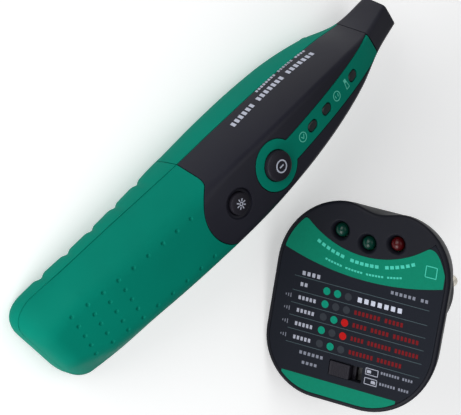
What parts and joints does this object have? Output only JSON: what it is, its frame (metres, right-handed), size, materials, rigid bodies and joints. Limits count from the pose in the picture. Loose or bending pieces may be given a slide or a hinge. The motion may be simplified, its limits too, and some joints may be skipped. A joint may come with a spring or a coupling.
{
  "type": "circuit breaker finder",
  "caption": "Two-piece circuit breaker finder: a tapered hand-held receiver with buttons and indicator windows, and a plug-in transmitter with a lamp label.",
  "frame": {"origin": "on the flat of the receiver's back, under its middle", "axes": "+X from the handle's tail to the sensing nose, +Z out of the receiver's front, +Y to the receiver's left; the transmitter lies on the -Y side"},
  "size_m": [0.1809, 0.1245, 0.0676],
  "materials": {
    "green_plastic": "fine satin moulded texture",
    "dark_plastic": "fine satin moulded texture",
    "button_plastic": "satin",
    "window_plastic": "smoked and glossy",
    "green_lens": "tinted epoxy",
    "red_lens": "tinted epoxy",
    "clear_lens": "clear epoxy",
    "label_film": "printed film",
    "circuit_board": "solder mask",
    "component_resin": "moulded epoxy",
    "screw_steel": "zinc plated",
    "plated_brass": "nickel plated",
    "coil_copper": "enamelled copper",
    "ferrite": "sintered",
    "battery_sleeve": "printed sleeve",
    "red_insulation": "wire insulation"
  },
  "bodies": {
    "receiver": {"front_handle_cover": "green_plastic", "handle_grip_shell": "green_plastic", "upper_back_shell": "green_plastic", "indicator_strip": "green_plastic", "front_upper_cover": "dark_plastic", "nose_cap": "button_plastic", "battery_lead_black": "button_plastic", "led_window_1": "window_plastic", "led_window_2": "window_plastic", "led_window_3": "window_plastic", "indicator_led_1": "green_lens", "indicator_led_2": "green_lens", "indicator_led_3": "green_lens", "torch_led": "clear_lens", "main_board": "circuit_board", "processor_chip": "component_resin", "amplifier_chip": "component_resin", "buzzer": "component_resin", "power_switch": "component_resin", "light_switch": "component_resin", "battery_snap": "component_resin", "case_screw_1": "screw_steel", "case_screw_2": "screw_steel", "case_screw_3": "screw_steel", "antenna_coil": "coil_copper", "antenna_core": "ferrite", "battery": "battery_sleeve", "battery_lead_red": "red_insulation"},
    "battery_door": {"battery_door": "green_plastic"},
    "power_button": {"power_button": "button_plastic"},
    "light_button": {"light_button": "button_plastic"},
    "transmitter": {"transmitter_front_shell": "dark_plastic", "transmitter_back_shell": "dark_plastic", "face_label": "label_film", "status_led_1": "green_lens", "status_led_2": "green_lens", "status_led_3": "red_lens", "live_pin": "plated_brass", "neutral_pin": "plated_brass", "earth_contact_1": "screw_steel", "earth_contact_2": "screw_steel", "mode_switch_body": "component_resin", "signal_chip": "component_resin", "transmitter_board": "circuit_board", "mains_capacitor": "ferrite", "filter_choke": "coil_copper", "coupling_transformer": "ferrite", "fuse": "component_resin", "plug_case_screw_1": "screw_steel", "plug_case_screw_2": "screw_steel", "plug_case_screw_3": "screw_steel", "plug_case_screw_4": "screw_steel"},
    "mode_switch_knob": {"mode_switch_knob": "button_plastic"}
  },
  "joints": [
    {"name": "battery_door_slide", "type": "slide", "parent": "receiver", "child": "battery_door", "axis": [-1, 0, 0], "range_m": [0, 0.05]},
    {"name": "power_button_press", "type": "slide", "parent": "receiver", "child": "power_button", "axis": [0, 0, -1], "range_m": [0, 0.0012], "stiffness_N_per_m": 800, "springref_m": -0.0005},
    {"name": "light_button_press", "type": "slide", "parent": "receiver", "child": "light_button", "axis": [0, 0, -1], "range_m": [0, 0.001], "stiffness_N_per_m": 800, "springref_m": -0.0005},
    {"name": "transmitter_lift", "type": "slide", "parent": "receiver", "child": "transmitter", "axis": [0, 0, 1], "range_m": [0, 0.12]},
    {"name": "mode_switch_slide", "type": "slide", "parent": "transmitter", "child": "mode_switch_knob", "axis": [0.2252, -0.3503, 0.9092], "range_m": [0, 0.0044]}
  ]
}
